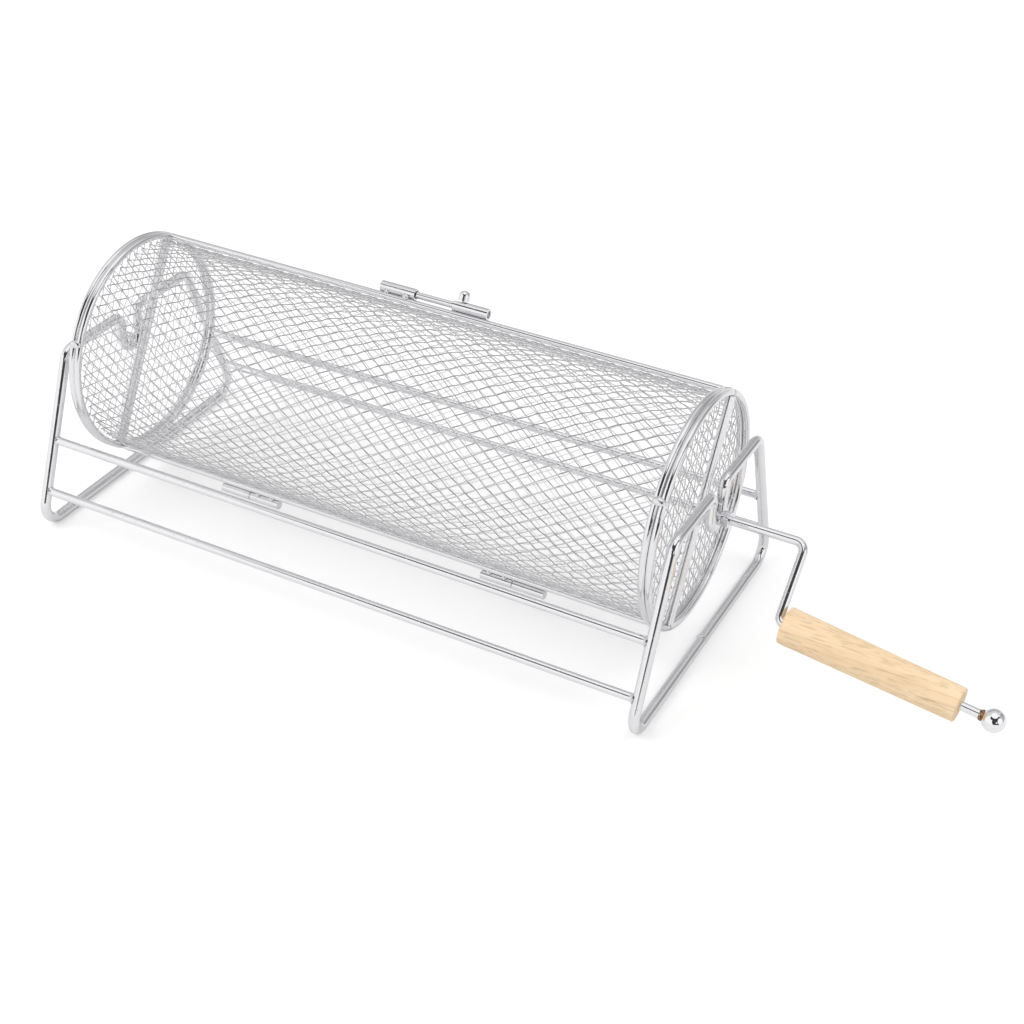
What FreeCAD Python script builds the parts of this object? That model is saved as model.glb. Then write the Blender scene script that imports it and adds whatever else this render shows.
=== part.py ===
import FreeCAD, Part
import math
import os

# Rotating grill basket: a mesh drum split lengthwise into a tray and a hinged lid, carried on an
# axle by a bent-wire stand, and turned by a wire crank with a wooden grip.
#
# Frame: X runs along the drum towards the crank, Y to the back, Z up. The origin is on the surface
# that the stand rests on, under the middle of the drum. Millimetres.
#
# The drum has its own directions: "across" lies in the split plane, from the hinge edge to the
# latch edge, and "outward" is square to the split plane, from the tray towards the lid.

V = FreeCAD.Vector
X_AXIS = V(1, 0, 0)

# ---------------------------------------------------------------- clearances
weld_gap = 0.05          # between pieces that are welded to each other
press_gap = 0.02         # radial, a piece pressed on a rod
running_gap = 0.10       # radial, a piece that turns or slides on a rod
free_gap = 0.30          # between pieces that move past each other

# ---------------------------------------------------------------- stand
frame_wire = 5.0         # diameter of the end frames' wire
drum_end_space = 7.5     # from the drum's outer ring to the end frame, plane to plane
base_half_width = 79.5   # from the middle to the legs' foot, on the wire's centreline
top_half_width = 47.0    # the same at the top bar
saddle_rise = 14.5       # of the top bar's centreline above the axle's
foot_bend = 9.0          # bend radii, on the centreline
shoulder_bend = 7.0
saddle_lip_bend = 4.5
saddle_branch = 6.5      # from the axle to each branch of the saddle, on the centreline
rail_wire = 4.0
upper_rail_rise = 42.0   # above the base wire's centreline
lower_rail_rise = 18.0

# ---------------------------------------------------------------- drum
ground_clearance = 16.0  # under the drum's rings
split_tilt = 29.0        # the split plane's lean to the back, in degrees from upright
half_gap = 0.6           # between the two halves' wires
ring_radius = 53.4       # on the ring wire's centreline
ring_wire = 3.2          # diameter of rings, end bars and edge bars
outer_ring_plane = 150.0
mesh_thickness = 1.0

# ---------------------------------------------------------------- axle and crank
rod_diameter = 4.0
boss_radius = 4.0
end_play = 0.5           # between a boss and its end frame
stub_overhang = 8.0      # of the plain axle end past the end frame's plane and wire
collar_radius = 3.6
collar_length = 4.0
crank_reach = 41.5       # from the end frame's plane to the crank's first corner
crank_arm = 35.5         # between the two bends' corners
crank_angle = 46.0       # of the arm, in degrees from straight down, towards the front
crank_splay = 6.5        # of the handle rod away from the axle's direction, in degrees
crank_bend = 4.5         # bend radius on the centreline, where the arm leaves the axle
handle_bend = 3.2        # bend radius on the centreline, where the handle leaves the arm
grip_radius = 8.3        # at its end by the crank's arm
grip_far_radius = 7.5    # at its end by the ball
grip_length = 78.8
grip_edge = 0.6
grip_start_gap = 0.35    # from the end of the second bend to the grip
grip_end_gap = 9.3       # from the grip to the ball
ball_radius = 5.0

# ---------------------------------------------------------------- latch and hinges
latch_tube_radius = 2.7
bolt_diameter = 3.2
keeper_start = -27.0
keeper_length = 18.5
guide_start = 11.5
guide_length = 18.0
bolt_tail_inset = 2.0    # from the guide's far end to the bolt's tail
knob_place = 15.5        # X of the knob at rest
knob_radius = 2.7
knob_height = 4.8
knob_stem_radius = 1.2
knob_dome = 2.4
hinge_tube_radius = 2.3
hinge_pin_diameter = 2.4
hinge_middles = (-69.0, 74.5)
knuckle_length = 15.9
knuckle_gap = 0.6
bead_radius = 1.2        # of the weld bead between a tube and its edge bar
bead_inset = 4.0         # from a tube's end to its bead

# ---------------------------------------------------------------- derived places
frame_radius = frame_wire / 2
rail_radius = rail_wire / 2
ring_wire_radius = ring_wire / 2
rod_radius = rod_diameter / 2
bolt_radius = bolt_diameter / 2
pin_radius = hinge_pin_diameter / 2

frame_plane = outer_ring_plane + drum_end_space
axis_height = ground_clearance + ring_radius + ring_wire_radius
base_height = frame_radius
frame_rise = axis_height + saddle_rise - base_height
saddle_bottom = axis_height - rod_radius - free_gap - frame_radius
frame_inner_face = frame_plane - frame_radius
frame_outer_face = frame_plane + frame_radius
inner_ring_plane = outer_ring_plane - ring_wire - weld_gap
bar_outward = half_gap / 2 + ring_wire_radius
bar_across = math.sqrt(ring_radius ** 2 - bar_outward ** 2)
mesh_radius = ring_radius - ring_wire_radius - weld_gap
end_mesh_outer_face = outer_ring_plane - ring_wire_radius - weld_gap
end_mesh_inner_face = end_mesh_outer_face - mesh_thickness
boss_inner_face = outer_ring_plane + ring_wire_radius + free_gap
boss_outer_face = frame_inner_face - end_play
stub_end = frame_outer_face + stub_overhang

tilt = math.radians(split_tilt)
across = V(0, math.sin(tilt), math.cos(tilt))
outward = V(0, -math.cos(tilt), math.sin(tilt))


def drum_point(x, a, o):
    """The point at x along the drum, a across it and o outward from the split plane."""
    return V(x, 0, axis_height) + across * a + outward * o


def tube_across(tube_radius):
    """How far across a tube's axis lies, so that it clears both halves' edge bars alike."""
    reach = tube_radius + ring_wire_radius + free_gap
    return bar_across + math.sqrt(reach ** 2 - bar_outward ** 2)


latch_across = tube_across(latch_tube_radius)
hinge_across = -tube_across(hinge_tube_radius)


# ---------------------------------------------------------------- shapes
def rod(start, end, radius):
    """A straight round rod between two points."""
    along = end - start
    return Part.makeCylinder(radius, along.Length, start, along)


def bent_wire(points, bends, radius):
    """A round wire along straight runs, with a tangent arc of the given radius at each corner."""
    edges = []
    here = points[0]

    def run_to(there):
        if (there - here).Length > 0.001:
            edges.append(Part.makeLine(here, there))

    for before, corner, after, bend in zip(points, points[1:], points[2:], bends):
        arriving = (corner - before).normalize()
        leaving = (after - corner).normalize()
        inward = (leaving - arriving).normalize()
        half_turn = arriving.getAngle(leaving) / 2
        cut_back = bend * math.tan(half_turn)
        start = corner - arriving * cut_back
        end = corner + leaving * cut_back
        middle = corner + inward * (bend / math.cos(half_turn) - bend)
        run_to(start)
        edges.append(Part.Arc(start, middle, end).toShape())
        here = end
    run_to(points[-1])
    section = Part.Wire(Part.makeCircle(radius, points[0], points[1] - points[0]))
    return Part.Wire(edges).makePipeShell([section], True, False)


def drum_block(x_span, across_span, outward_span):
    """A block whose faces follow the drum's own directions."""
    near, far = x_span
    low, high = across_span
    inner, outer = outward_span
    corners = [(low, inner), (high, inner), (high, outer), (low, outer), (low, inner)]
    outline = Part.makePolygon([drum_point(near, a, o) for a, o in corners])
    return Part.Face(outline).extrude(X_AXIS * (far - near))


def half_of_drum(side, x_span):
    """The space on one half's side of the split plane: +1 the lid's, -1 the tray's."""
    reach = 2 * ring_radius
    return drum_block(x_span, (-reach, reach), (side * half_gap / 2, side * reach))


def welded_tube(start_x, length, a, tube_radius, bore_radius, side):
    """A tube along the drum, with two weld beads that reach the edge bar of its own half."""
    end_x = start_x + length
    bar_a = math.copysign(bar_across, a)
    bead_a = (bar_a * tube_radius + a * ring_wire_radius) / (tube_radius + ring_wire_radius)
    o = side * bar_outward
    tube = rod(drum_point(start_x, a, 0), drum_point(end_x, a, 0), tube_radius)
    for x in (start_x + bead_inset, end_x - bead_inset):
        tube = tube.fuse(Part.makeSphere(bead_radius, drum_point(x, bead_a, o)))
    bar = rod(drum_point(start_x, bar_a, o), drum_point(end_x, bar_a, o), ring_wire_radius)
    bore = rod(drum_point(start_x, a, 0), drum_point(end_x, a, 0), bore_radius)
    return tube.cut(bar).cut(bore)


# ---------------------------------------------------------------- stand
def leg_distance(rise):
    """How far a leg's centreline is from the middle, at a rise above the base wire's."""
    return base_half_width - (base_half_width - top_half_width) * rise / frame_rise


def end_frame(end):
    """A closed loop of wire with a saddle in its top bar, welded shut under the middle."""
    x = end * frame_plane
    top = base_height + frame_rise

    def half(y_side):
        corners = [
            V(x, 0, base_height),
            V(x, y_side * base_half_width, base_height),
            V(x, y_side * top_half_width, top),
            V(x, y_side * saddle_branch, top),
            V(x, y_side * saddle_branch, saddle_bottom),
            V(x, 0, saddle_bottom),
        ]
        bends = [foot_bend, shoulder_bend, saddle_lip_bend, saddle_branch]
        return bent_wire(corners, bends, frame_radius)

    return half(-1).fuse(half(1)).removeSplitter()


def rail(y_side, rise):
    """A straight rail between the end frames' legs."""
    reach = frame_inner_face - weld_gap
    y = y_side * leg_distance(rise)
    z = base_height + rise
    return rod(V(-reach, y, z), V(reach, y, z), rail_radius)


# ---------------------------------------------------------------- drum halves
def half_ring(x, side):
    """Half of a ring, whose cut ends stay clear of the other half's."""
    inset = math.asin(half_gap / 2 / ring_radius)
    middle = drum_point(x, 0, 0)
    start = drum_point(x, -ring_radius * math.cos(inset), side * half_gap / 2)
    section = Part.Wire(Part.makeCircle(ring_wire_radius, start, X_AXIS.cross(start - middle)))
    turn = 180 - 2 * math.degrees(inset)
    return Part.Face(section).revolve(middle, X_AXIS * -side, turn)


def edge_bar(edge, side):
    """A bar along the drum, at the latch edge (+1) or the hinge edge (-1)."""
    reach = inner_ring_plane - ring_wire_radius - weld_gap
    a = edge * bar_across
    o = side * bar_outward
    return rod(drum_point(-reach, a, o), drum_point(reach, a, o), ring_wire_radius)


def end_bar(end, side):
    """A straight bar across one end of the drum, inside the outer ring."""
    x = end * outer_ring_plane
    reach = math.sqrt(mesh_radius ** 2 - (bar_outward + ring_wire_radius) ** 2)
    o = side * bar_outward
    return rod(drum_point(x, -reach, o), drum_point(x, reach, o), ring_wire_radius)


def half_side_mesh(side):
    """The half-cylinder of mesh, as a thin shell inside the rings and edge bars."""
    reach = end_mesh_inner_face - weld_gap
    ends = drum_point(-reach, 0, 0), drum_point(reach, 0, 0)
    shell = rod(*ends, mesh_radius).cut(rod(*ends, mesh_radius - mesh_thickness))
    return shell.common(half_of_drum(side, (-reach, reach)))


def half_end_mesh(end, side):
    """The half-disc of mesh that closes one end, behind the end bar."""
    x_span = (end * end_mesh_inner_face, end * end_mesh_outer_face)
    disc = rod(*[drum_point(x, 0, 0) for x in x_span], mesh_radius)
    return disc.common(half_of_drum(side, x_span))


# ---------------------------------------------------------------- axle and crank
def axle_boss(end):
    """A boss bored for the axle rod, with a half-round foot that fits the tray's end bar."""
    foot_x, inner, outer = [end * x for x in (outer_ring_plane, boss_inner_face, boss_outer_face)]
    body = rod(drum_point(inner, 0, 0), drum_point(outer, 0, 0), boss_radius)
    foot = rod(drum_point(foot_x, 0, 0), drum_point(inner, 0, 0), boss_radius)
    foot = foot.common(half_of_drum(-1, (foot_x, inner)))
    bore = rod(drum_point(inner, 0, 0), drum_point(outer, 0, 0), rod_radius + press_gap)
    return body.fuse(foot).cut(end_bar(end, -1)).cut(bore)


def plain_axle():
    """The short axle that rests in the saddle away from the crank."""
    return rod(drum_point(-boss_inner_face, 0, 0), drum_point(-stub_end, 0, 0), rod_radius)


arm_angle = math.radians(crank_angle)
splay = math.radians(crank_splay)
arm_direction = V(0, -math.sin(arm_angle), -math.cos(arm_angle))
handle_direction = X_AXIS * math.cos(splay) + arm_direction * math.sin(splay)
first_corner = drum_point(frame_plane + crank_reach, 0, 0)
second_corner = first_corner + arm_direction * crank_arm
second_bend_end = handle_bend * math.tan((math.pi / 2 - splay) / 2)
grip_start = second_bend_end + grip_start_gap
ball_place = grip_start + grip_length + grip_end_gap + ball_radius


def handle_point(distance):
    """The point on the handle rod's axis that far from the second bend's corner."""
    return second_corner + handle_direction * distance


def crank_rod():
    """The axle rod on the crank's side, bent twice, up to the middle of the ball."""
    corners = [drum_point(boss_inner_face, 0, 0), first_corner, second_corner,
               handle_point(ball_place)]
    return bent_wire(corners, [crank_bend, handle_bend], rod_radius)


def stop_collar():
    """A collar pressed on the rod outside the saddle, which keeps the drum between the frames."""
    start = frame_outer_face + free_gap
    ends = drum_point(start, 0, 0), drum_point(start + collar_length, 0, 0)
    return rod(*ends, collar_radius).cut(rod(*ends, rod_radius + press_gap))


def wooden_grip():
    """A turned wooden tube, slightly thinner towards the ball, that spins on the handle rod."""
    ends = handle_point(grip_start), handle_point(grip_start + grip_length)
    body = Part.makeCone(grip_radius, grip_far_radius, grip_length, ends[0], handle_direction)
    rims = [e for e in body.Edges if e.Curve.TypeId == "Part::GeomCircle"]
    return body.makeFillet(grip_edge, rims).cut(rod(*ends, rod_radius + running_gap))


def end_ball():
    """The ball on the rod's end, with a blind hole for the rod."""
    ball = Part.makeSphere(ball_radius, handle_point(ball_place))
    return ball.cut(rod(handle_point(ball_place - 2 * ball_radius), handle_point(ball_place),
                        rod_radius + press_gap))


# ---------------------------------------------------------------- latch
def latch_keeper():
    """The lid's tube, which the bolt slides into."""
    return welded_tube(keeper_start, keeper_length, latch_across, latch_tube_radius,
                       bolt_radius + free_gap, 1)


def latch_guide():
    """The tray's tube, which the bolt slides in, with an open slot for the knob's stem."""
    tube = welded_tube(guide_start, guide_length, latch_across, latch_tube_radius,
                       bolt_radius + running_gap, -1)
    half_slot = knob_stem_radius + free_gap
    slot = drum_block((guide_start, knob_place + half_slot),
                      (latch_across, latch_across + 2 * latch_tube_radius),
                      (-half_slot, half_slot))
    return tube.cut(slot)


def latch_bolt():
    """The sliding bolt, with its tip just short of the keeper."""
    tip = keeper_start + keeper_length + free_gap
    tail = guide_start + guide_length - bolt_tail_inset
    return rod(drum_point(tip, latch_across, 0), drum_point(tail, latch_across, 0), bolt_radius)


def latch_knob():
    """The upright domed knob on the bolt."""
    skirt = latch_across + latch_tube_radius + free_gap
    foot, seat, top = [drum_point(knob_place, a, 0)
                       for a in (latch_across, skirt, skirt + knob_height)]
    body = rod(seat, top, knob_radius)
    rim = max((e for e in body.Edges if e.Curve.TypeId == "Part::GeomCircle"),
              key=lambda e: e.CenterOfMass.z)
    body = body.makeFillet(knob_dome, [rim])
    return body.fuse(rod(foot, seat, knob_stem_radius)).cut(latch_bolt())


# ---------------------------------------------------------------- hinges
def hinge_knuckles(side):
    """One half's two knuckles: the lid's are the two nearest the drum's middle."""
    knuckles = []
    for middle in hinge_middles:
        towards = side * math.copysign(1, -middle)
        near = middle + towards * knuckle_gap / 2
        start = min(near, near + towards * knuckle_length)
        knuckles.append(welded_tube(start, knuckle_length, hinge_across, hinge_tube_radius,
                                    pin_radius + running_gap / 2, side))
    return Part.makeCompound(knuckles)


def hinge_pins():
    """One pin through each pair of knuckles, flush with their far ends."""
    reach = knuckle_length + knuckle_gap / 2
    return Part.makeCompound([rod(drum_point(m - reach, hinge_across, 0),
                                  drum_point(m + reach, hinge_across, 0), pin_radius)
                              for m in hinge_middles])


# ---------------------------------------------------------------- the whole basket
def basket_nodes():
    """Every sub-part's name and shape."""
    nodes = {
        "rail_front_upper": rail(-1, upper_rail_rise),
        "rail_front_lower": rail(-1, lower_rail_rise),
        "rail_back_upper": rail(1, upper_rail_rise),
        "rail_back_lower": rail(1, lower_rail_rise),
        "axle_plain": plain_axle(),
        "crank_rod": crank_rod(),
        "stop_collar": stop_collar(),
        "wooden_grip": wooden_grip(),
        "end_ball": end_ball(),
        "latch_keeper": latch_keeper(),
        "latch_guide": latch_guide(),
        "latch_bolt": latch_bolt(),
        "latch_knob": latch_knob(),
        "hinge_pins": hinge_pins(),
    }
    for end, hand in ((-1, "left"), (1, "right")):
        nodes["end_frame_" + hand] = end_frame(end)
        nodes["axle_boss_" + hand] = axle_boss(end)
    for side, half in ((1, "lid"), (-1, "tray")):
        nodes[half + "_side_mesh"] = half_side_mesh(side)
        nodes[half + "_latch_bar"] = edge_bar(1, side)
        nodes[half + "_hinge_bar"] = edge_bar(-1, side)
        nodes[half + "_hinge_knuckles"] = hinge_knuckles(side)
        for end, hand in ((-1, "left"), (1, "right")):
            nodes[half + "_outer_ring_" + hand] = half_ring(end * outer_ring_plane, side)
            nodes[half + "_inner_ring_" + hand] = half_ring(end * inner_ring_plane, side)
            nodes[half + "_end_bar_" + hand] = end_bar(end, side)
            nodes[half + "_end_mesh_" + hand] = half_end_mesh(end, side)
    return nodes


os.makedirs("parts", exist_ok=True)
for name, shape in basket_nodes().items():
    shape.exportStep("parts/" + name + ".step")
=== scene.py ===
"""Rotating grill basket: woven wire drum in a bent-wire stand, wire crank, beech grip.

Metres. X runs along the drum towards the crank, Y to the back, Z up. The drum has its own
directions: ACROSS lies in the plane that splits it, from the hinges to the latch, and OUTWARD is
square to that plane, from the tray towards the lid.
"""
import math

import bpy
import numpy as np
from mathutils import Matrix, Vector


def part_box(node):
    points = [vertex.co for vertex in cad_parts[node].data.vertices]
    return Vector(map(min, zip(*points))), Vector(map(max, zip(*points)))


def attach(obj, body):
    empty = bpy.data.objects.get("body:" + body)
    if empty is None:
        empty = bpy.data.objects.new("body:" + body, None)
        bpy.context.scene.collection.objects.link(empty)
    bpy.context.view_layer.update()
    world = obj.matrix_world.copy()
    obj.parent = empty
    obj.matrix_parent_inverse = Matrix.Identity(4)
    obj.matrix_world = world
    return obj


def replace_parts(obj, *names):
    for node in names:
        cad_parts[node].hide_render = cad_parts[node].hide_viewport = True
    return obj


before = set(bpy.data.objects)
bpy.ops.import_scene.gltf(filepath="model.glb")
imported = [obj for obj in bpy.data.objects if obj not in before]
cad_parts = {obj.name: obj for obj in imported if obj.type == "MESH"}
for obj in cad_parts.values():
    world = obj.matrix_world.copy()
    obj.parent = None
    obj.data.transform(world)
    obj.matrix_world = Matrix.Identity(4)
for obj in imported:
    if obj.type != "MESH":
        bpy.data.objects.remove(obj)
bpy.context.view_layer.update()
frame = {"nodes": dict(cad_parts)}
nodes = frame["nodes"]

# ---------------------------------------------------------------- sizes
AXIS_HEIGHT = 0.071
SPLIT_TILT = math.radians(29)
RING_RADIUS = 0.0534            # to the ring wire's centreline
OUTER_RING_PLANE = 0.150
INNER_RING_PLANE = 0.14675
BAR_OUTWARD = 0.0019            # from the split plane to an edge bar's centreline
BAR_ACROSS = math.sqrt(RING_RADIUS ** 2 - BAR_OUTWARD ** 2)
BEAD_TURN = math.radians(5.3)   # of the ring beads, from the drum's OUTWARD line, opposite ways
MESH_WIRE = 0.0003              # radius of the woven wire
MESH_RADIUS = 0.05095           # of the drum's woven wall, at mid-weave
MESH_REACH = 0.1462             # half the woven wall's length
END_MESH_PLANE = 0.14755
END_MESH_RADIUS = 0.0512
END_TURN = math.radians(34)     # of the end meshes' diamonds, from ACROSS
MESH_SIDES = 6                  # flat faces round a woven wire
MESH_MARGIN = 0.0009            # from the split plane to the wires' cut ends
DIAMOND_LONG = 0.0044           # half a woven diamond, along the drum
DIAMOND_WIDE = 0.00286          # half a woven diamond, around the drum
FRAME_WIRE = 0.0025             # radius of the stand's end frames
FRAME_PLANE = 0.1575
RAIL_WIRE = 0.002               # radius of the rails
RING_BEAD = 0.0031, 0.0021      # half length and radius of a weld bead across two rings
FOOT_BEAD = 0.0022, 0.0018      # the same, where an edge bar meets the rings
SPOT_BEAD = 0.0017, 0.0014      # the same, under a latch tube
KEEPER_WELD = -0.0125           # X of the spot weld under the latch keeper
GUIDE_WELD = 0.0205             # X of the spot weld under the latch guide
ROD = 0.002                     # radius of the crank's rod

ACROSS = np.array([0, math.sin(SPLIT_TILT), math.cos(SPLIT_TILT)])
OUTWARD = np.array([0, -math.cos(SPLIT_TILT), math.sin(SPLIT_TILT)])
ALONG = np.array([1.0, 0, 0])

CRANK_ANGLE = math.radians(46)
CRANK_SPLAY = math.radians(6.5)
CRANK_CORNER = 0.199            # X of the corner where the arm leaves the axle
CRANK_ARM = 0.0355              # between the crank's two corners
BRAZE_PLACE = 0.0902            # from the handle's corner to the ball's braze
ARM = np.array([0, -math.sin(CRANK_ANGLE), -math.cos(CRANK_ANGLE)])
HANDLE = ALONG * math.cos(CRANK_SPLAY) + ARM * math.sin(CRANK_SPLAY)
HANDLE_START = np.array([CRANK_CORNER, 0, AXIS_HEIGHT]) + ARM * CRANK_ARM


def drum_point(x, a, o):
    """The point at x along the drum, a across it and o outward from the split plane."""
    return np.array([x, 0, AXIS_HEIGHT]) + ACROSS * a + OUTWARD * o


# ---------------------------------------------------------------- camera
def place_camera():
    """Looks down at the drum from in front of its crank end."""
    azimuth, elevation, roll = (math.radians(a) for a in (26.79, 34.45, 1.87))
    back = Vector((math.sin(azimuth) * math.cos(elevation),
                   -math.cos(azimuth) * math.cos(elevation), math.sin(elevation)))
    level = Vector((math.cos(azimuth), math.sin(azimuth), 0))
    upright = back.cross(level)
    right = math.cos(roll) * level + math.sin(roll) * upright
    up = math.cos(roll) * upright - math.sin(roll) * level
    target, distance, leftward, downward = Vector((0.06, 0, 0.0625)), 0.80545, 0.00175, 0.019
    place = target + back * distance - right * leftward - up * downward
    data = bpy.data.cameras.new("camera")
    data.lens = 62.05
    data.clip_start = 0.01
    camera = bpy.data.objects.new("camera", data)
    bpy.context.scene.collection.objects.link(camera)
    turn = Matrix((right, up, back)).transposed().to_4x4()
    camera.matrix_world = Matrix.Translation(place) @ turn
    bpy.context.scene.camera = camera


# ---------------------------------------------------------------- shader expressions
class Field:
    """A number, colour or vector that varies from place to place. Arithmetic adds Math nodes."""

    def __init__(self, nodes, socket):
        self.nodes, self.socket = nodes, socket

    def math(self, operation, *values):
        return self.nodes.node("ShaderNodeMath", {"operation": operation}, dict(enumerate(values)))

    def __add__(self, other): return self.math("ADD", self, other)
    def __radd__(self, other): return self.math("ADD", other, self)
    def __sub__(self, other): return self.math("SUBTRACT", self, other)
    def __rsub__(self, other): return self.math("SUBTRACT", other, self)
    def __mul__(self, other): return self.math("MULTIPLY", self, other)
    def __rmul__(self, other): return self.math("MULTIPLY", other, self)
    def either(self, other): return self.math("MAXIMUM", self, other)


class Nodes:
    """A node tree that is written with one call for each node."""

    def __init__(self, tree):
        self.tree = tree

    def put(self, socket, value):
        if isinstance(value, Field):
            self.tree.links.new(value.socket, socket)
        else:
            socket.default_value = value

    def node(self, kind, settings=None, values=None, output=0):
        """Adds a node: its settings first, then the values or links of its sockets."""
        made = self.tree.nodes.new(kind)
        for key, value in (settings or {}).items():
            setattr(made, key, value)
        for key, value in (values or {}).items():
            self.put(made.inputs[key], value)
        return Field(self, made.outputs[output])

    def step(self, value, low, high, to_low=0.0, to_high=1.0):
        """Runs smoothly from to_low to to_high while value goes from low to high."""
        return self.node("ShaderNodeMapRange", {"interpolation_type": "SMOOTHSTEP"},
                         {"Value": value, "From Min": low, "From Max": high,
                          "To Min": to_low, "To Max": to_high})

    def mix(self, factor, low, high):
        """The colour low where factor is 0, and high where it is 1."""
        made = self.tree.nodes.new("ShaderNodeMix")
        made.data_type = "RGBA"
        self.put(made.inputs[0], factor)
        for socket, colour in ((made.inputs[6], low), (made.inputs[7], high)):
            self.put(socket, colour if isinstance(colour, Field) else (*colour, 1.0))
        return Field(self, made.outputs[2])

    def rays_that_see(self):
        """1 for what the camera sees, itself or in metal or glass, and 0 for the object's light."""
        path = self.tree.nodes.new("ShaderNodeLightPath")
        seen = [Field(self, path.outputs[name]) for name in
                ("Is Camera Ray", "Is Glossy Ray", "Is Transmission Ray")]
        return seen[0].either(seen[1]).either(seen[2])

    def camera_rays(self):
        """1 for what the camera itself sees."""
        return self.node("ShaderNodeLightPath", output="Is Camera Ray")


class Finish(Nodes):
    """One material. Constants go straight to the shader's own sockets."""

    def __init__(self, name, **constants):
        self.material = bpy.data.materials.new(name)
        self.material.use_nodes = True
        super().__init__(self.material.node_tree)
        self.shader = self.tree.nodes["Principled BSDF"]
        for key, value in constants.items():
            self.put(self.shader.inputs[key], value)

    def set(self, socket, value):
        self.put(self.shader.inputs[socket], value)

    def place(self, turn=(0, 0, 0), stretch=(1, 1, 1)):
        """The piece's own coordinates in metres, turned and stretched."""
        where = self.node("ShaderNodeTexCoord", output="Object")
        return self.node("ShaderNodeMapping", {},
                         {"Vector": where, "Rotation": turn, "Scale": stretch})

    def noise(self, where, scale, detail=2.0, roughness=0.5, distortion=0.0):
        return self.node("ShaderNodeTexNoise", {}, {
            "Vector": where, "Scale": scale, "Detail": detail, "Roughness": roughness,
            "Distortion": distortion})

    def bump(self, height, depth):
        """Raises the surface by height times depth, in metres."""
        self.set("Normal", self.node("ShaderNodeBump", {}, {
            "Height": height, "Distance": depth, "Strength": 1.0}))


# ---------------------------------------------------------------- finishes
def bright_plating(name, light, dull, low, high, pits):
    """Bright plate on drawn wire: faint clouding, fine drawing marks and a few duller specks.
    The colour runs from light to dull, the roughness from low to high, and pits is in metres."""
    finish = Finish(name, Metallic=1.0)
    where = finish.place()
    clouds = finish.noise(where, 90, 3)
    marks = finish.noise(where, 2600, 2, 0.6)
    specks = finish.step(finish.noise(where, 1100, 1), 0.66, 0.74)
    finish.set("Base Color", finish.mix(clouds * 0.55 + marks * 0.25 + specks * 0.35, light, dull))
    finish.set("Roughness", low + (high - low) * (clouds * 0.6 + marks * 0.4) + specks * 0.12)
    finish.bump(marks + specks * 2, pits)
    return finish.material


def woven_plating_with_painted_light():
    """Bright plate on the thin woven wire. The inner side of each wire, towards the drum's inside,
    is painted near-white, less metallic and rougher: painted light, so the outside reads darker.
    """
    finish = Finish("woven_wire", Metallic=1.0)
    where = finish.place()
    clouds = finish.noise(where, 120, 3)
    marks = finish.noise(where, 2600, 2, 0.6)
    # Mask of the painted light: 1 on each wire's inner side, where the colour is painted near-white
    # and less metallic.
    inner_painted_light = finish.node("ShaderNodeAttribute", {"attribute_name": "inner_painted_light"}, output="Fac")
    outside = finish.mix(clouds, (0.80, 0.79, 0.81), (0.56, 0.55, 0.58))
    finish.set("Base Color", finish.mix(inner_painted_light, outside, (0.98, 0.98, 0.98)))
    finish.set("Metallic", 1 - inner_painted_light * 0.6)
    finish.set("Roughness", 0.10 + clouds * 0.06 + marks * 0.04 + inner_painted_light * 0.3)
    finish.bump(marks, 0.000004)
    return finish.material


def bare_beech():
    """Pale beech: faint bands and fine dark fibres along the grain, short flecks, a dusty sheen."""
    finish = Finish("bare_beech", IOR=1.45)
    turn = Vector(HANDLE).rotation_difference(Vector((1, 0, 0))).to_euler()
    along = finish.place(turn)
    band_run = finish.place(turn, (0.05, 1, 1))
    fibre_run = finish.place(turn, (0.016, 1, 1))
    fleck_run = finish.place(turn, (0.06, 1, 1))
    bands = finish.noise(band_run, 300, 2, 0.5, 0.3)
    fibres = finish.noise(fibre_run, 2300, 2, 0.55)
    lines = finish.step(finish.noise(fibre_run, 1500, 3, 0.6), 0.55, 0.64)
    flecks = finish.step(finish.noise(fleck_run, 1600, 1, 0.5), 0.61, 0.68)
    mottle = finish.noise(along, 140, 2)
    colour = finish.mix(finish.step(bands, 0.34, 0.68), (0.92, 0.71, 0.46), (0.87, 0.63, 0.39))
    colour = finish.mix(finish.step(fibres, 0.4, 0.7) * 0.30, colour, (0.74, 0.52, 0.31))
    colour = finish.mix(lines * 0.46, colour, (0.62, 0.41, 0.23))
    colour = finish.mix(flecks * 0.46, colour, (0.52, 0.35, 0.21))
    colour = finish.mix(mottle * 0.25, colour, (0.95, 0.78, 0.56))
    finish.set("Base Color", colour)
    finish.set("Roughness", 0.48 + fibres * 0.16 + flecks * 0.1)
    finish.bump(fibres * 0.5 - lines * 0.6 - flecks * 0.8, 0.00010)
    return finish.material


def heat_tinted_braze():
    """Brazing at the ball's neck, browned by the heat, with bright patches left."""
    finish = Finish("heat_tinted_braze", Metallic=1.0)
    where = finish.place()
    patches = finish.step(finish.noise(where, 900, 3, 0.6), 0.4, 0.62)
    finish.set("Base Color", finish.mix(patches, (0.17, 0.085, 0.045), (0.62, 0.45, 0.33)))
    finish.set("Roughness", 0.5 - patches * 0.25)
    finish.bump(finish.noise(where, 1600, 2), 0.00015)
    return finish.material


# ---------------------------------------------------------------- surfaces
def piece_from(name, points, faces, finish):
    """A smooth mesh piece at the origin, from whole arrays of points and of faces."""
    mesh = bpy.data.meshes.new(name)
    mesh.from_pydata(points, [], faces)
    mesh.polygons.foreach_set("use_smooth", np.ones(len(mesh.polygons), bool))
    mesh.materials.append(finish)
    mesh.update()
    piece = bpy.data.objects.new(name, mesh)
    bpy.context.scene.collection.objects.link(piece)
    return piece


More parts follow.
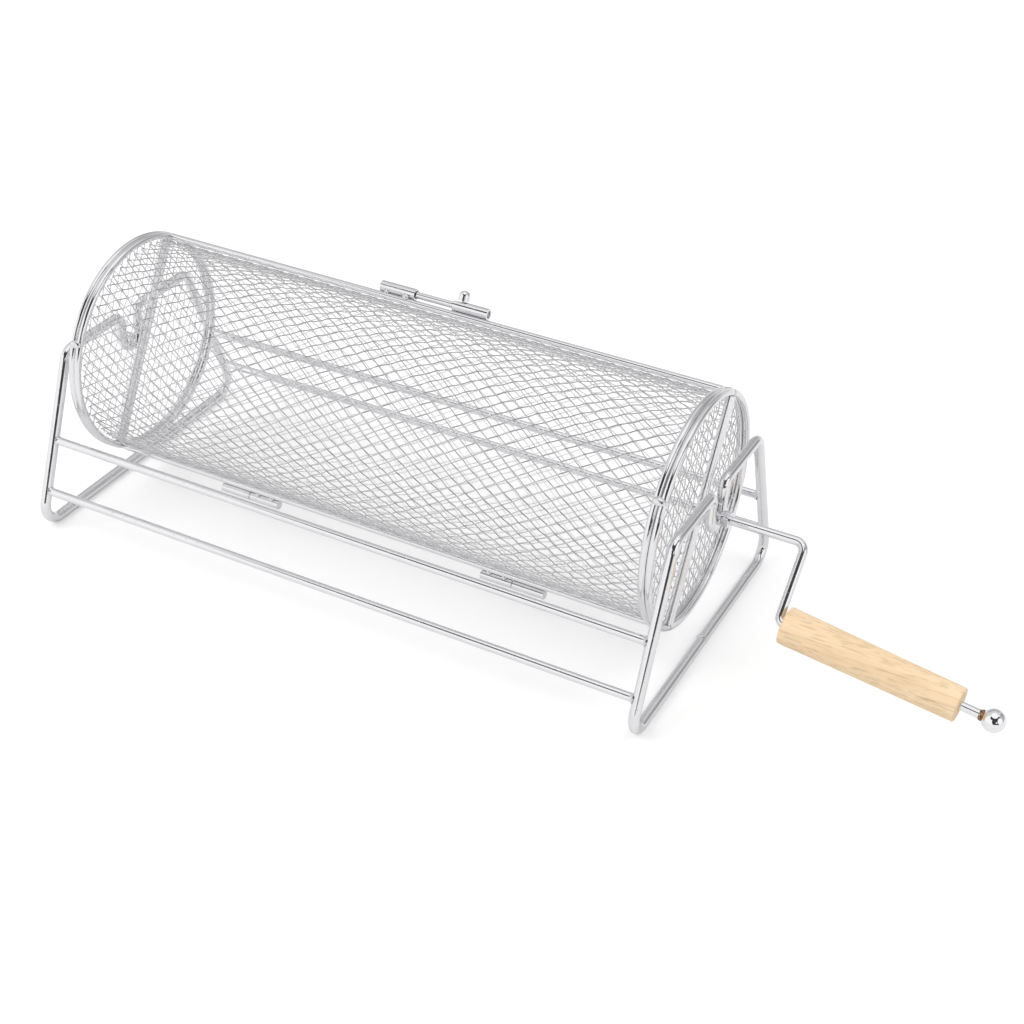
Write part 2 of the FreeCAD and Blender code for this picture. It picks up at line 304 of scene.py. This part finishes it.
def tube_faces(rows, around):
    """The faces of rows of around points each, an even number: a wall from row to row, and a cap
    on either end."""
    first = np.arange(rows - 1)[:, None] * around
    here, there = np.arange(around), (np.arange(around) + 1) % around
    second = first + around
    walls = np.stack([first + here, first + there, second + there, second + here], 2)
    fan = np.array([[0, k, k + 1, k + 2] for k in range(1, around - 2, 2)])
    return np.vstack([walls.reshape(-1, 4), fan[:, ::-1], fan + (rows - 1) * around])


def round_wire(line, facing, radius, sides):
    """A round wire: point(u, v) = line(u) + radius * (cos v * normal + sin v * side), where the
    normal is facing made square to the line and side = tangent x normal. Both ends are closed."""
    tangent = np.gradient(line, axis=0)
    tangent /= np.linalg.norm(tangent, axis=1)[:, None]
    normal = facing - (facing * tangent).sum(1)[:, None] * tangent
    normal /= np.linalg.norm(normal, axis=1)[:, None]
    side = np.cross(tangent, normal)
    turn = np.arange(sides) * 2 * math.pi / sides
    rings = (line[:, None] + radius * (np.cos(turn)[None, :, None] * normal[:, None]
                                       + np.sin(turn)[None, :, None] * side[:, None]))
    return rings.reshape(-1, 3), tube_faces(len(line), sides)


def joined(parts):
    """Several surfaces' points and faces as one."""
    starts = np.cumsum([0] + [len(points) for points, _ in parts[:-1]])
    return (np.vstack([points for points, _ in parts]),
            np.vstack([faces + start for (_, faces), start in zip(parts, starts)]))


def woven_lines(long_reach, wide_reach, inside, step):
    """The wires of a plain weave, flat: for each wire, its places along u, w and its height.
    Wire k of either lean runs through (u, w) = (lean * (t - k) * long, (t + k) * wide), crosses
    another at every whole t, and passes over and under in turn: height = lean * cos(pi (t + k))
    times the wire's radius. It is kept where inside(u, w) is true."""
    most = int((long_reach / DIAMOND_LONG + wide_reach / DIAMOND_WIDE) / 2) + 2
    for lean in (1, -1):
        for k in range(-most, most + 1):
            t = np.arange(-2 * most, 2 * most + 0.01, step)
            u, w = lean * (t - k) * DIAMOND_LONG, (t + k) * DIAMOND_WIDE
            kept = inside(u, w)
            if kept.sum() > 2:
                yield u[kept], w[kept], lean * np.cos(math.pi * (t[kept] + k)) * MESH_WIRE


def woven_piece(name, wires, finish):
    """Woven wires as one piece. Its point attribute is 0 on the drum's outside and 1 inside: 0.5 -
    cos v at the angle v round the wire from the outward side, kept within 0 and 1.
    It marks where the wire's colour carries painted light."""
    points, faces = joined(wires)
    piece = piece_from(name, points, faces, finish)
    # The painted-light mask: 1 on the inner side of every wire, 0 on the outer side.
    around = np.clip(0.5 - np.cos(np.arange(MESH_SIDES) * 2 * math.pi / MESH_SIDES), 0, 1)
    inner_painted_light = np.tile(around, len(points) // MESH_SIDES)
    piece.data.attributes.new("inner_painted_light", "FLOAT", "POINT").data.foreach_set("value", inner_painted_light)
    return piece


def woven_wall(name, side, finish):
    """Half of the drum's wall. A wire's point (u, w, height) goes to the cylinder: x = u, angle
    from ACROSS towards OUTWARD = w / radius, and distance from the axis = radius + height."""
    span = MESH_RADIUS * math.pi - MESH_MARGIN

    def half_wall(u, w):
        return (np.abs(u) <= MESH_REACH) & (w >= MESH_MARGIN) & (w <= span)

    def bent(u, w, height):
        angle = w / MESH_RADIUS
        away = np.cos(angle)[:, None] * ACROSS + side * np.sin(angle)[:, None] * OUTWARD
        line = u[:, None] * ALONG + [0, 0, AXIS_HEIGHT] + away * (MESH_RADIUS + height)[:, None]
        return round_wire(line, away, MESH_WIRE, MESH_SIDES)

    wires = woven_lines(MESH_REACH, span, half_wall, 0.25)
    return woven_piece(name, [bent(*wire) for wire in wires], finish)


def woven_end(name, end, side, finish):
    """Half of an end's disc. A wire's point (u, w) is turned by END_TURN to a across and o
    outward: (a, o) = (u cos - w sin, u sin + w cos). It is kept inside the disc's circle and
    clear of the split plane, and its height is along the drum."""

    def turned(u, w):
        return (u * math.cos(END_TURN) - w * math.sin(END_TURN),
                u * math.sin(END_TURN) + w * math.cos(END_TURN))

    def half_disc(u, w):
        a, o = turned(u, w)
        return (np.hypot(a, o) <= END_MESH_RADIUS) & (side * o >= MESH_MARGIN)

    def laid(u, w, height):
        a, o = turned(u, w)
        line = (a[:, None] * ACROSS + o[:, None] * OUTWARD + [0, 0, AXIS_HEIGHT]
                + (end * END_MESH_PLANE + height)[:, None] * ALONG)
        return round_wire(line, np.broadcast_to(end * ALONG, line.shape), MESH_WIRE, MESH_SIDES)

    wires = woven_lines(END_MESH_RADIUS, END_MESH_RADIUS, half_disc, 0.125)
    return woven_piece(name, [laid(*wire) for wire in wires], finish)


def lathed(start, axis, profile, ripple, around, seed):
    """A surface turned about a line: point(u, v) = start + axis * run(u) + reach(u) times
    (cos v, sin v) square to the axis, with reach rippled by up to ripple as sums of sines in u
    and v. Both ends are closed."""
    axis = np.array(axis, float)
    other = np.cross(axis, [0.31, 0.53, 0.79])
    other /= np.linalg.norm(other)
    third = np.cross(axis, other)
    run, reach = np.array(profile, float).T
    v = np.arange(around) * 2 * math.pi / around
    u = np.linspace(0, 1, len(run))[:, None]
    wave = (np.sin(3 * v + 5 * u + seed) + np.sin(2 * v - 9 * u + 2.3 * seed)
            + np.sin(5 * v + 3 * seed))
    out = reach[:, None] * (1 + ripple * wave / 3)
    rings = (np.array(start) + run[:, None, None] * axis
             + out[:, :, None] * (np.cos(v)[:, None] * other + np.sin(v)[:, None] * third))
    return rings.reshape(-1, 3), tube_faces(len(run), around)


def lump(centre, axis, half_length, radius, seed):
    """A weld bead: an egg shape turned about its long axis, run = -half cos(pi u), reach = radius
    sin(pi u)^0.8, rippled like metal that has frozen as it flowed."""
    u = np.linspace(0.02, 0.98, 11) * math.pi
    profile = np.stack([-half_length * np.cos(u), radius * np.sin(u) ** 0.8], 1)
    return lathed(centre, axis, profile, 0.12, 18, seed)


def collar_weld(centre, axis, wire, seed):
    """A weld round a wire's end, flared towards what it is welded to:
    reach = wire + rise (1 - u)^2 - fall u."""
    length, rise, fall = 0.0017, 0.00055, 0.00008
    u = np.linspace(0, 1, 9)
    profile = np.stack([u * length, wire + rise * (1 - u) ** 2 - fall * u], 1)
    return lathed(centre, axis, profile, 0.10, 22, seed)


# ---------------------------------------------------------------- studio
SKY_LIGHT = 0.84                # the world's strength as light on matt surfaces
LAMPS = ((-0.9, -1.1, 1.7), 1.3, 15.0), ((1.2, 0.7, 1.5), 1.0, 5.0)     # place, size, watts
LAMP_TARGET = 0.03, 0, 0.05


def lay_floor():
    """A pale round floor that stays white and keeps the shadow."""
    radius, corners, shade, lift = 6, 96, (0.80, 0.80, 0.80), (0.27, 0.27, 0.27)
    angles = np.arange(corners) * 2 * math.pi / corners
    rim = np.stack([radius * np.cos(angles), radius * np.sin(angles), 0 * angles], 1)
    mesh = bpy.data.meshes.new("floor")
    mesh.from_pydata(rim, [], [list(range(corners))])
    floor = bpy.data.objects.new("floor", mesh)
    bpy.context.scene.collection.objects.link(floor)
    finish = Finish("pale_floor", Roughness=0.9)
    finish.set("Specular IOR Level", 0.0)
    finish.set("Base Color", (*shade, 1))
    finish.set("Emission Color", finish.mix(finish.camera_rays(), (0, 0, 0), lift))
    finish.set("Emission Strength", 1.0)
    mesh.materials.append(finish.material)


def light_studio():
    """A white cove that turns greyer behind the object. Bright metal mirrors it, and with it the
    dim room on the camera's side, whose soft boxes give the white streaks between the dark ones.
    Directions are azimuth, from the front towards the crank's side, and elevation, in degrees."""
    world = bpy.data.worlds.new("cove")
    bpy.context.scene.world = world
    world.use_nodes = True
    sky = Nodes(world.node_tree)
    background = world.node_tree.nodes["Background"]
    way = sky.node("ShaderNodeTexCoord", output="Generated")

    def towards(azimuth, elevation):
        a, e = math.radians(azimuth), math.radians(elevation)
        aim = (math.sin(a) * math.cos(e), -math.cos(a) * math.cos(e), math.sin(e))
        return sky.node("ShaderNodeVectorMath", {"operation": "DOT_PRODUCT"},
                        {0: way, 1: aim}, "Value")

    def patch(azimuth, elevation, wide, soft):
        """1 within wide degrees of a direction, falling to 0 over the next soft degrees."""
        return sky.step(towards(azimuth, elevation), math.cos(math.radians(wide + soft)),
                        math.cos(math.radians(wide)))

    height = towards(0, 90)
    above_floor = sky.step(height, -0.08, 0.0)
    room = (patch(48, 28, 46, 5) * above_floor).either(patch(-20, 56, 17, 4))
    room = room.either(patch(122, 15, 26, 12) * above_floor * 0.55)
    boxes = patch(27, 87, 27, 3).either(patch(78, 22, 24, 3)).either(patch(39, 18, 6, 2))
    behind = sky.step(towards(207, 20), 0.15, 0.6)
    band = sky.step(height, 0.20, 0.30) * sky.step(height, 0.60, 0.70, 1, 0)
    gap = band * patch(202, 28, 30, 6)
    glow = (1 - behind * 0.32) * (1 - gap * 0.35) * (1 - room * 0.95) * (1 - boxes) + boxes
    light = sky.node("ShaderNodeLightPath", output="Is Glossy Ray")
    shown = sky.node("ShaderNodeMix", {}, {"Factor": light, "A": 1.0, "B": glow})
    sky.put(background.inputs["Color"], (1, 1, 1, 1))
    path = sky.rays_that_see()
    strength = sky.node("ShaderNodeMix", {}, {"Factor": path, "A": SKY_LIGHT, "B": shown})
    sky.put(background.inputs["Strength"], strength)

    for place, size, power in LAMPS:
        data = bpy.data.lights.new("soft_box", "AREA")
        data.size, data.energy = size, power
        lamp = bpy.data.objects.new("soft_box", data)
        lamp.location = place
        aim = Vector(place) - Vector(LAMP_TARGET)
        lamp.rotation_euler = aim.to_track_quat("Z", "Y").to_euler()
        lamp.visible_glossy = False
        bpy.context.scene.collection.objects.link(lamp)
    bpy.context.scene.view_settings.view_transform = "Standard"


# ---------------------------------------------------------------- the object
def finish_nodes(finishes):
    """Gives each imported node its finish."""
    for name, node in nodes.items():
        if name.startswith(("end_frame", "rail_")):
            finish = finishes["stand"]
        elif name == "wooden_grip":
            finish = finishes["beech"]
        elif name == "end_ball":
            finish = finishes["ball"]
        elif name.startswith(("latch_", "hinge_", "stop_", "axle_boss")) or "knuckles" in name:
            finish = finishes["fittings"]
        else:
            finish = finishes["drum"]
        node.data.materials.clear()
        node.data.materials.append(finish)


def hang_mesh(finishes):
    """The woven wall and ends of the lid and of the tray."""
    for half, side, body in (("lid", 1, "lid"), ("tray", -1, "basket")):
        wall = woven_wall(f"{half}_woven_wall", side, finishes["mesh"])
        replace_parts(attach(wall, body), f"{half}_side_mesh")
        for place, end in (("left", -1), ("right", 1)):
            disc = woven_end(f"{half}_woven_end_{place}", end, side, finishes["mesh"])
            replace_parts(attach(disc, body), f"{half}_end_mesh_{place}")


def drum_welds(side):
    """Beads across each pair of rings, and where the bars of one half meet its rings."""
    middle = (OUTER_RING_PLANE + INNER_RING_PLANE) / 2
    away = RING_RADIUS + 0.0007
    foot_out = side * (BAR_OUTWARD + 0.0006)
    parts = []
    for end in (-1, 1):
        crown = drum_point(end * middle, away * math.sin(end * BEAD_TURN),
                           side * away * math.cos(BEAD_TURN))
        parts.append(lump(crown, ALONG, *RING_BEAD, 2 + end))
        for edge in (-1, 1):
            foot = drum_point(end * (middle - 0.0003), edge * (BAR_ACROSS - 0.0002), foot_out)
            parts.append(lump(foot, ALONG, *FOOT_BEAD, 5 + 3 * edge + end))
    return joined(parts)


def latch_weld(tube, side, x):
    """A spot weld in the groove between a latch tube and the edge bar that carries it."""
    low, high = (np.array(corner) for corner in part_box(tube))
    middle = (low + high) / 2
    bar = drum_point(0, BAR_ACROSS, side * BAR_OUTWARD)
    groove = (middle + bar) / 2 * [0, 1, 1] + ALONG * x + OUTWARD * side * 0.0012
    return lump(groove, ALONG, *SPOT_BEAD, 9)


def butt_weld(end):
    """The seam in the middle of a frame's foot: a ridge round the wire, rise sqrt(1 - u^2) high,
    set higher by rise so that it stays clear of the floor."""
    half_length, rise = 0.0011, 0.00035
    u = np.linspace(-1, 1, 9)
    profile = np.stack([half_length * u, FRAME_WIRE - 0.0001 + rise * np.sqrt(1 - u ** 2)], 1)
    middle = [end * FRAME_PLANE, 0, FRAME_WIRE + rise]
    return lathed(middle, [0, 1, 0], profile, 0.02, 24, 3 + end)


def stand_welds():
    """A flared weld at each rail's end, and a butt weld in each frame's foot."""
    parts = []
    rails = [f"rail_{face}_{level}" for face in ("front", "back") for level in ("upper", "lower")]
    for seed, name in enumerate(rails):
        low, high = (np.array(corner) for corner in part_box(name))
        for end, x in ((1, low[0]), (-1, high[0])):
            centre = np.array([x - end * 0.0004, (low[1] + high[1]) / 2, (low[2] + high[2]) / 2])
            parts.append(collar_weld(centre, ALONG * end, RAIL_WIRE, seed * 2 + end))
    return joined(parts + [butt_weld(end) for end in (-1, 1)])


def neck_braze():
    """The browned fillet between the crank's rod and the ball: a ridge on the rod, whose height
    is rise sin(pi (0.08 + 0.72 u))^0.7."""
    length, rise = 0.0022, 0.00055
    u = np.linspace(0, 1, 9)
    ridge = rise * np.sin(math.pi * (0.08 + 0.72 * u)) ** 0.7
    profile = np.stack([length * u, ROD - 0.0001 + ridge], 1)
    return lathed(HANDLE_START + HANDLE * BRAZE_PLACE, HANDLE, profile, 0.09, 22, 4)


def add_welds(finishes):
    """All the welds, each with the body it is on."""
    for name, surface, body, slot, finish in (
            ("stand_weld_beads", stand_welds(), "stand", "stand_wire", "weld"),
            ("lid_weld_beads",
             joined([drum_welds(1), latch_weld("latch_keeper", 1, KEEPER_WELD)]),
             "lid", "drum_wire", "weld"),
            ("tray_weld_beads",
             joined([drum_welds(-1), latch_weld("latch_guide", -1, GUIDE_WELD)]),
             "basket", "drum_wire", "weld"),
            ("ball_neck_braze", neck_braze(), "basket", "fittings", "braze")):
        piece = piece_from(name, *surface, finishes[finish])
        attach(piece, body)


place_camera()
CLEAR, CLOUDED = (0.95, 0.95, 0.96), (0.79, 0.78, 0.81)
finishes = {
    "stand": bright_plating("bright_stand_wire", CLEAR, (0.80, 0.79, 0.82), 0.04, 0.12, 4e-6),
    "drum": bright_plating("bright_drum_wire", CLEAR, CLOUDED, 0.05, 0.14, 5e-6),
    "mesh": woven_plating_with_painted_light(),
    "fittings": bright_plating("plated_fittings", CLEAR, CLOUDED, 0.06, 0.16, 6e-6),
    "ball": bright_plating("polished_ball", CLEAR, (0.88, 0.88, 0.90), 0.02, 0.05, 1e-6),
    "weld": bright_plating("plated_weld", (0.92, 0.91, 0.92), (0.68, 0.66, 0.67), 0.10, 0.24, 2e-5),
    "beech": bare_beech(),
    "braze": heat_tinted_braze(),
}
finish_nodes(finishes)
hang_mesh(finishes)
add_welds(finishes)
lay_floor()
light_studio()
